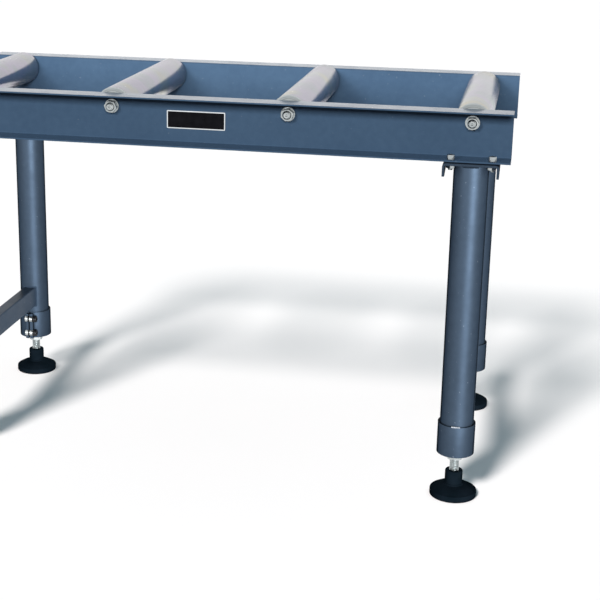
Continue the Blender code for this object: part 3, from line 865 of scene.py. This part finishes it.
def leg_bracket():
    """Plate over the leg, with a tapered lip bent down at each end and holes for two bolts."""
    low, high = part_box("bracket_front_left")
    half, reach, _ = half_size("bracket_front_left")
    top = high.z
    plate_bottom = top - BRACKET_SHEET
    bracket = block("bracket", (-half, -reach, plate_bottom), (half, reach, top))
    edit(bracket)
    for side in (-1, 1):
        slice_all((side * (half - BRACKET_SHEET), 0.0, 0.0), (1.0, 0.0, 0.0))
    pick_faces(lambda spot, normal: normal.z < -0.9 and abs(spot.x) > half - BRACKET_SHEET)
    extrude((0.0, 0.0, low.z - plate_bottom))
    bpy.ops.mesh.select_all(action="SELECT")
    bpy.ops.mesh.dissolve_limited(angle_limit=math.radians(1.0))
    round_edges(BRACKET_SHEET + BEND_INSIDE, BEND_STEPS, lambda spot, way: abs(way.y) > 0.9
                and close_to(abs(spot.x), half) and close_to(spot.z, top))
    round_edges(BEND_INSIDE, BEND_STEPS, lambda spot, way: abs(way.y) > 0.9
                and close_to(abs(spot.x), half - BRACKET_SHEET) and close_to(spot.z, plate_bottom))
    pick_faces(lambda spot, normal: spot.z < plate_bottom and abs(normal.y) < 0.1
               and (abs(normal.x) > 0.9 or close_to(spot.z, low.z)))
    slice_at((0.0, LIP_TIP - reach, 0.0), (0.0, 1.0, 0.0))
    pick_edges(lambda spot, way: abs(way.x) > 0.9 and close_to(spot.y, reach) and close_to(spot.z, low.z))
    bpy.ops.transform.translate(value=(0.0, 0.0, plate_bottom - LIP_ROOT - low.z))
    leave_edit()
    for number in (1, 2):
        spot = leg_place(f"bracket_bolt_front_left_{number}")
        tool = rod("bolt_hole", BOLT_HOLE, plate_bottom - MARGIN, top + MARGIN)
        cut(bracket, tool, Matrix.Translation((spot.x, spot.y, 0.0)))
    soften(bracket)
    return bracket


def socket_head(name, seat, end):
    """Bolt along Z with a round socket head that stands on its seat, and its thread down to its end."""
    top = seat + SOCKET_HEAD
    radius = SOCKET_HEAD_RADIUS
    bolt = turned(name, [(0.0, top), (radius, top, 0.0008), (radius, seat, 0.0003), (0.0, seat)])
    cut(bolt, rod("socket", SOCKET_FLATS / math.sqrt(3), top - SOCKET_DEPTH, top + MARGIN, 6))
    combine(bolt, threaded("bolt_thread", M8, end, seat + SOCKET_HEAD / 4, BOLT_CHAMFER), "UNION")
    smooth(bolt)
    return bolt


def bracket_bolt():
    """Bolt down through the flange and the bracket."""
    low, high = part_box("bracket_bolt_front_left_1")
    return socket_head("bracket_bolt", high.z - SOCKET_HEAD, low.z)


def clamp_collar():
    """Split ring with two ears, grooved where it meets the leg and bored for the clamp bushes."""
    low, high = COLLAR_LOW.z, COLLAR_HIGH.z
    collar = ring("collar", [(COLLAR_BORE, low, 0.0005), (COLLAR_RADIUS, low, 0.0008),
                             (COLLAR_RADIUS, high, 0.0005), (COLLAR_RADIUS - COLLAR_RIM, high, 0.0003),
                             (COLLAR_BORE, high - COLLAR_GROOVE)], 2 * ROUND_SIDES)
    for side in (-1, 1):
        near, far = sorted((side * NEAR, side * (SLIT / 2 + EAR_THICKNESS)))
        ear = block("ear", (near, COLLAR_BORE + LEG_WALL / 2, low + NEAR),
                    (far, EAR_TIP, high - EAR_BELOW_TOP))
        edit(ear)
        round_edges(EAR_ROUNDING, 3, lambda spot, way: close_to(spot.y, EAR_TIP))
        leave_edit()
        combine(collar, ear, "UNION")
    slit = block("collar_slit", (-SLIT / 2, 0.0, low - MARGIN),
                 (SLIT / 2, 2 * COLLAR_RADIUS, high + MARGIN))
    cut(collar, slit)
    for level in bush_levels():
        reach = SLIT / 2 + EAR_THICKNESS + MARGIN
        tool = rod("bush_seat", BUSH_RADIUS + FASTENER_GAP, -reach, reach)
        cut(collar, tool, Matrix.Translation((0.0, BUSH_FROM_AXIS, level)) @ TO_LEFT)
    smooth(collar)
    collar.data.materials.append(SHADED_TUBE_PAINT)
    collar.data.materials.append(GROOVE_SHADE)
    # The groove and the top of the rim take the near-black finish, which is painted shade in the crevice.
    for face in collar.data.polygons:
        from_axis = face.center.to_2d().length
        upper = face.center.z > high - COLLAR_GROOVE - NEAR and face.normal.z > 0.3
        face.material_index = 1 if upper and from_axis < COLLAR_RADIUS - NEAR else 0
    return collar


def bush_levels():
    return (COLLAR_LOW.z + BUSH_FROM_END, COLLAR_HIGH.z - BUSH_FROM_END)


def clamp_bush():
    """Round bush let into an ear, along Z from the slit outwards."""
    hole = M8[0] / 2 + FASTENER_GAP
    start = SLIT / 2 + FASTENER_GAP
    return ring("bush", [(hole, start), (hole, start + BUSH_LENGTH, 0.0003),
                         (BUSH_RADIUS, start + BUSH_LENGTH, 0.0008), (BUSH_RADIUS, start, 0.0003)])


def clamp_screw():
    """Socket-head screw along Z: its head stands on the outer bush and its thread ends past the other."""
    seat = SLIT / 2 + BUSH_LENGTH + 2 * FASTENER_GAP
    return socket_head("clamp_screw", seat, -seat - SCREW_PROUD)


def inner_tube():
    """Inner leg with its end plate and the flange that meets the outer leg."""
    _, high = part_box("inner_leg_front_left")
    flange = half_size("inner_leg_front_left").x
    bottom = COLLAR_LOW.z
    radius = LEG_RADIUS - LEG_WALL - SLIDING_FIT
    bore = radius - INNER_WALL
    return ring("inner_leg", [(SPINDLE_BORE, bottom, 0.0004), (flange, bottom, 0.0008),
                              (flange, bottom + STOP_FLANGE, 0.0006), (radius, bottom + STOP_FLANGE),
                              (radius, high.z, 0.0008), (bore, high.z, 0.0008), (bore, bottom + END_PLATE),
                              (SPINDLE_BORE, bottom + END_PLATE)])


def foot_pad():
    """Moulded foot: domed plate, ring at the root of its neck and a bore for the spindle."""
    _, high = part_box("foot_pad_front_left")
    rim = half_size("foot_pad_front_left").x
    shoulder = PAD_RIM + PAD_RISE
    return turned("pad", [(0.0, SPINDLE_SEAT), (SPINDLE_BORE, SPINDLE_SEAT), (SPINDLE_BORE, high.z, 0.0006),
                          (NECK_RADIUS, high.z, 0.0030), (NECK_RADIUS, shoulder + 0.0012, 0.0006),
                          (NECK_RADIUS + 0.0016, shoulder + 0.0006, 0.0006),
                          (NECK_RADIUS + 0.0024, shoulder - 0.0014, 0.0008),
                          (DOME_RADIUS, PAD_RIM + DOME_RISE, 0.0100),
                          (rim - 0.0022, PAD_RIM + 0.0004, 0.0006), (rim - 0.0002, PAD_RIM, 0.0014),
                          (rim, 0.0, 0.0022), (0.0, 0.0)])


def arc(radius, level, start, end, steps):
    """Points on a circle round Z, between two angles in degrees."""
    angles = [math.radians(start + (end - start) * step / steps) for step in range(steps + 1)]
    return [(radius * math.cos(angle), radius * math.sin(angle), level) for angle in angles]


def leg_beads():
    """Arcs of weld between the leg's top and its bracket, clear of the bolts' nuts."""
    beads = []
    for name, start, end in LEG_BEAD_ARCS:
        path = arc(LEG_RADIUS, LEG_HIGH.z - LEG_BEAD / 3, start, end, int((end - start) * POINTS_PER_DEGREE))
        beads.append((name, bead(f"leg_bead_{name}", path, LEG_BEAD, closed=False)))
    return beads


def collar_tack():
    """A short tack between the collar's rim and the leg, on the side away from the ears."""
    radius = (COLLAR_BORE + COLLAR_RADIUS) / 2
    path = arc(radius, COLLAR_HIGH.z, TACK_START, TACK_START + TACK_ARC, TACK_STEPS)
    return bead("tack", path, TACK_BEAD, closed=False)


def make_legs():
    tube = leg_tube()
    bracket = leg_bracket()
    bolt = bracket_bolt()
    nut_top = LEG_HIGH.z
    bolt_nut = hex_nut("bolt_nut", BOLT_NUT_FLATS, nut_top - BOLT_NUT, nut_top, M8[0])
    collar = clamp_collar()
    bush = clamp_bush()
    screw = clamp_screw()
    inner = inner_tube()
    inner_low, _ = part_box("inner_leg_front_left")
    weld_nut = hex_nut("weld_nut", WELD_NUT_FLATS, inner_low.z, COLLAR_LOW.z, M16[0])
    spindle_low, spindle_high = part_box("spindle_front_left")
    spindle = threaded("spindle", M16, spindle_low.z, spindle_high.z, ROD_CHAMFER)
    pad = foot_pad()
    beads = leg_beads()
    tack = collar_tack()
    # Tubes, brackets and collars take the darker copy of the paint, which is painted shade.
    painted = ((tube, "leg_tube", "leg"), (bracket, "leg_bracket", "bracket"),
               (collar, "clamp_collar", "collar"))
    for corner, place in corners():
        for master, name, node in painted:
            put(master, f"{name}_{corner}", "frame", "paint", SHADED_TUBE_PAINT, place, f"{node}_{corner}")
        for number in (1, 2):
            spot = leg_place(f"bracket_bolt_front_left_{number}")
            seat = place @ Matrix.Translation((spot.x, spot.y, 0.0))
            put(bolt, f"hex_bolt_{corner}_{number}", "frame", "bright_zinc", BRIGHT_ZINC, seat,
                f"bracket_bolt_{corner}_{number}")
            put(bolt_nut, f"bolt_nut_{corner}_{number}", "frame", "bright_zinc", BRIGHT_ZINC, seat)
        for name, level in zip(("lower", "upper"), bush_levels()):
            axis = place @ Matrix.Translation((0.0, BUSH_FROM_AXIS, level)) @ TO_LEFT
            back = axis @ Matrix.Rotation(math.pi, 4, "X")
            put(bush, f"clamp_bush_{corner}_{name}_1", "frame", "bright_zinc", BRIGHT_ZINC, axis)
            put(bush, f"clamp_bush_{corner}_{name}_2", "frame", "bright_zinc", BRIGHT_ZINC, back)
            put(screw, f"clamp_screw_{corner}_{name}", "frame", "black_plastic", BLACK_OXIDE, axis)
        put(inner, f"inner_tube_{corner}", f"lower_leg_{corner}", "bright_zinc", BRIGHT_ZINC, place,
            f"inner_leg_{corner}")
        put(weld_nut, f"weld_nut_{corner}", f"lower_leg_{corner}", "bright_zinc", BRIGHT_ZINC, place)
        put(spindle, f"levelling_screw_{corner}", f"spindle_{corner}", "bright_zinc", BRIGHT_ZINC, place,
            f"spindle_{corner}")
        put(pad, f"foot_{corner}", f"foot_{corner}", "black_plastic", BLACK_PLASTIC, place,
            f"foot_pad_{corner}")
        for name, weld in beads:
            put(weld, f"leg_weld_{corner}_{name}", "frame", "paint", SHADED_TUBE_PAINT, place)
        # Each tack takes the pale grey finish, which is a painted highlight.
        put(tack, f"collar_tack_{corner}", "frame", "bright_zinc", TACK_HIGHLIGHT_GREY, place)
    clear_away(tube, bracket, bolt, bolt_nut, collar, bush, screw, inner, weld_nut, spindle, pad, tack)
    clear_away(*[weld for _, weld in beads])


# Braces

def brace_tube():
    """Rectangular tube along Y with rounded edges, hollowed at its ends to fit the legs."""
    low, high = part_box("brace_left")
    half = half_size("brace_left").x
    reach = -LEG_AXIS.y
    brace = block("brace", (-half, -reach, low.z), (half, reach, high.z))
    hollow = block("hollow", (BRACE_WALL - half, -reach - MARGIN, low.z + BRACE_WALL),
                   (half - BRACE_WALL, reach + MARGIN, high.z - BRACE_WALL))
    for obj, corner in ((brace, BRACE_CORNER), (hollow, BRACE_CORNER - BRACE_WALL)):
        edit(obj)
        round_edges(corner, 6, lambda spot, way: abs(way.y) > 0.9)
        leave_edit()
    cut(brace, hollow)
    for side in (-1, 1):
        saddle = rod("saddle", LEG_RADIUS + FASTENER_GAP, low.z - MARGIN, high.z + MARGIN, ROUND_SIDES)
        cut(brace, saddle, Matrix.Translation((0.0, side * reach, 0.0)))
    smooth(brace)
    return brace


def brace_bead():
    """Weld all round the front end of a brace, where it lies on the leg."""
    low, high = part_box("brace_left")
    half = half_size("brace_left").x
    spots = [Vector((-half, low.z)), Vector((half, low.z)), Vector((half, high.z)), Vector((-half, high.z))]
    path = []
    for start, end in zip(spots, spots[1:] + spots[:1]):
        count = int((end - start).length / (RIPPLE_PITCH / 5))
        for step in range(count):
            x, z = start.lerp(end, step / count)
            path.append((x, LEG_AXIS.y + math.sqrt(LEG_RADIUS ** 2 - x ** 2), z))
    return bead("brace_bead", path, BRACE_BEAD, closed=True)


def make_braces():
    brace = brace_tube()
    weld = brace_bead()
    for end, _ in ENDS:
        place = Matrix.Translation((middle(f"brace_{end}").x, 0.0, 0.0))
        put(brace, f"brace_tube_{end}", "frame", "paint", SHADED_BRACE_PAINT, place, f"brace_{end}")
        for row, _, turn in ROWS:
            put(weld, f"brace_weld_{end}_{row}", "frame", "paint", SHADED_BRACE_PAINT,
                place @ Matrix.Rotation(turn, 4, "Z"))
    clear_away(brace, weld)


# Floor, light and camera

FLOOR_HALF = 40.0
FLOOR_TONE = (0.90, 0.90, 0.90)
FLOOR_BOUNCE = (0.10, 0.107, 0.112)     # what the floor throws back on the stand
WHITE = (1.0, 1.0, 1.0)
WORLD_FILL = (0.020, 0.023, 0.025)
FLOOR_FILL_COLOR = (0.78, 1.0, 1.10)
SUN_COLOR = (1.07, 1.0, 0.97)           # with the fill it makes the floor neutral
SUNS = (                     # name, where from, power, colour, degrees across, what throws its shadows
    ("floor_sun", (-0.239, -0.716, 0.656), 2.25, SUN_COLOR, 13.0, "every_piece"),
    ("leg_sun", (-0.25, -0.75, 0.61), 1.9, SUN_COLOR, 11.0, "front_legs"),
    ("floor_fill", UP, 0.86, FLOOR_FILL_COLOR, 90.0, "feet"))
TABLE_MIDDLE = (0.0, 0.0, 0.62)
STAND_MIDDLE = (0.0, 0.0, 0.42)
LEGS_MIDDLE = (0.0, 0.0, 0.3)
SOFTBOXES = (                # name, what it lights, place, aim, power, width, height, seen in metal
    ("left_softbox", "table", (-1.316, -3.521, 1.988), TABLE_MIDDLE, 92.0, 1.0, 1.0, False),
    ("right_softbox", "table", (0.986, -3.627, 1.988), TABLE_MIDDLE, 88.0, 1.0, 1.0, False),
    ("rail_softbox", "rear_rail_alone", (0.0, -3.95, 1.25), TABLE_MIDDLE, 165.0, 1.6, 0.8, False),
    ("rear_softbox", "stand", (-0.6, 2.6, 1.9), STAND_MIDDLE, 85.0, 1.6, 1.0, False),
    ("rim_strip", "both_rails", (-0.65, 2.6, 1.05), TABLE_MIDDLE, 2.5, 3.0, 0.8, True),
    ("leg_strip", "legs", (4.35, -8.56, 0.60), LEGS_MIDDLE, 1350.0, 4.0, 1.2, True),
    ("leg_softbox", "legs", (-1.73, -3.7, 1.00), LEGS_MIDDLE, 60.0, 2.0, 1.2, True))
CAMERA_PLACE = (0.5463, -2.4640, 1.0320)
CAMERA_YAW, CAMERA_PITCH, CAMERA_ROLL = 0.1911, 0.2909, -0.0150
CAMERA_LENS = 84.68
CAMERA_SHIFT = (0.0657, -0.0220)


def backdrop_color(owner, seen, thrown):
    """The colour that shows in pictures and reflections, and the one that lights the stand."""
    path = add_node(owner, "ShaderNodeLightPath")
    shows = path.outputs["Is Camera Ray"]
    for ray in ("Is Glossy Ray", "Is Transmission Ray"):
        either = add_node(owner, "ShaderNodeMath", operation="MAXIMUM")
        wire(owner, shows, either.inputs[0])
        wire(owner, path.outputs[ray], either.inputs[1])
        shows = either.outputs[0]
    mix = add_node(owner, "ShaderNodeMix", {MIX_A: (*thrown, 1.0), MIX_B: (*seen, 1.0)}, data_type="RGBA")
    wire(owner, shows, mix.inputs["Factor"])
    return mix.outputs[MIX_RESULT]


def pale_floor():
    """Floor under the feet, which goes down with the lowest of them when a leg is drawn out."""
    bpy.ops.mesh.primitive_plane_add(size=2 * FLOOR_HALF)
    floor = named("pale_floor")
    material, shader = new_finish("pale_floor", 0.9, 0.0, 0.0)
    wire(material, backdrop_color(material, FLOOR_TONE, FLOOR_BOUNCE), shader.inputs["Base Color"])
    floor.data.materials.append(material)
    for corner, _ in corners():
        limit = floor.constraints.new("FLOOR")
        limit.target = frame["bodies"][f"foot_{corner}"]
        limit.floor_location = "FLOOR_NEGATIVE_Z"
    return floor


def lamp(name, kind, place, aim, energy, lights=None, shadowed_by=None, **settings):
    """A lamp that points at a place, with the groups that it lights and that throw its shadows."""
    light = bpy.data.lights.new(name, kind)
    light.energy = energy
    for key, value in settings.items():
        setattr(light, key, value)
    obj = bpy.data.objects.new(name, light)
    bpy.context.scene.collection.objects.link(obj)
    obj.location = place
    obj.rotation_mode = "QUATERNION"
    obj.rotation_quaternion = (Vector(aim) - Vector(place)).to_track_quat("-Z", "Y")
    obj.light_linking.receiver_collection = lights
    obj.light_linking.blocker_collection = shadowed_by
    return obj


def group(name, objects, state="INCLUDE"):
    """A collection that links lamps to its objects, or keeps them off these."""
    made = bpy.data.collections.new(name)
    for obj in objects:
        made.objects.link(obj)
    for member in made.collection_objects:
        member.light_linking.link_state = state
    return made


def studio(floor):
    """Softboxes for the table and the legs, a strip behind the rails, and suns that light the floor alone."""
    low_pieces = [piece for piece in PIECES if not piece.name.startswith("bolt_nut")
                  and max(vert.co.z for vert in piece.data.vertices) < RAIL_LOW.z - BRACKET_SHEET]
    rails = [piece for piece in PIECES if piece.name.endswith("_channel")]
    front_legs = [piece for piece in low_pieces if "front" in piece.name or "brace" in piece.name]
    feet = [piece for piece in low_pieces if piece.name.startswith("foot_")]
    shadowed_by = {"every_piece": None, "front_legs": group("front_legs", front_legs),
                   "feet": group("feet", feet)}
    floor_alone = group("floor_alone", [floor])
    lit = {"legs": group("legs", low_pieces), "table": group("table", [floor, *low_pieces], "EXCLUDE"),
           "both_rails": group("both_rails", rails), "rear_rail_alone": group("rear_rail_alone", rails[1:]),
           "stand": group("stand", [floor], "EXCLUDE")}
    for name, place, power, color, across, blockers in SUNS:
        lamp(name, "SUN", place, (0.0, 0.0, 0.0), power, floor_alone, shadowed_by[blockers], color=color,
             angle=math.radians(across))
    for name, lights, place, aim, power, width, height, seen in SOFTBOXES:
        box = lamp(name, "AREA", place, aim, power, lit[lights], shape="RECTANGLE", size=width, size_y=height)
        box.visible_glossy = seen
    world = bpy.data.worlds.new("studio")
    bpy.context.scene.world = world
    world.use_nodes = True
    background = world.node_tree.nodes["Background"]
    wire(world, backdrop_color(world, WHITE, WORLD_FILL), background.inputs["Color"])


def photo_camera():
    data = bpy.data.cameras.new("camera")
    data.lens = CAMERA_LENS
    data.shift_x, data.shift_y = CAMERA_SHIFT
    camera = bpy.data.objects.new("camera", data)
    bpy.context.scene.collection.objects.link(camera)
    turn = Matrix.Rotation(CAMERA_YAW, 4, "Z") @ Matrix.Rotation(math.pi / 2 - CAMERA_PITCH, 4, "X")
    roll = Matrix.Rotation(-CAMERA_ROLL, 4, "Z")
    camera.matrix_world = Matrix.Translation(CAMERA_PLACE) @ turn @ roll
    bpy.context.scene.camera = camera


make_rails()
make_rollers()
make_legs()
make_braces()
studio(pale_floor())
photo_camera()
bpy.context.scene.view_settings.view_transform = "Standard"
